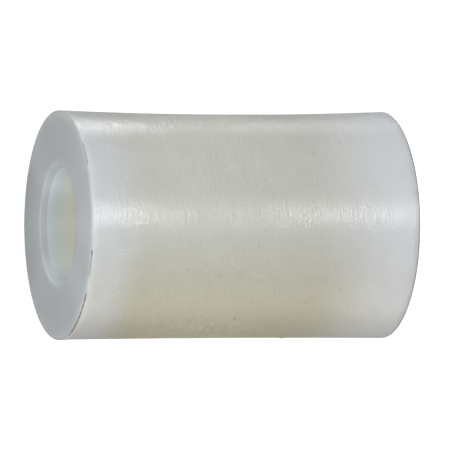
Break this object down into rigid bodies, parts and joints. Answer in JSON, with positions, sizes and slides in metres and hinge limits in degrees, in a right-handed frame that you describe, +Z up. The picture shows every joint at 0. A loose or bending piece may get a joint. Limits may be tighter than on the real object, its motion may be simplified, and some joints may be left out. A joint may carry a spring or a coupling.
{
  "type": "round nylon spacer",
  "caption": "Short round spacer sleeve in milky natural nylon, with a plain through bore for a screw and a flat seat at each end.",
  "frame": {"origin": "centre of the lower end face, where the bore's axis meets it", "axes": "+Z runs up the bore from the lower end face to the upper one; X and Y are alike, because the sleeve is round"},
  "size_m": [0.0126, 0.0126, 0.0191],
  "materials": {
    "natural_nylon": "milky, slightly see-through natural nylon with a fine satin skin"
  },
  "bodies": {
    "root": {"spacer": "natural_nylon"}
  },
  "joints": []
}
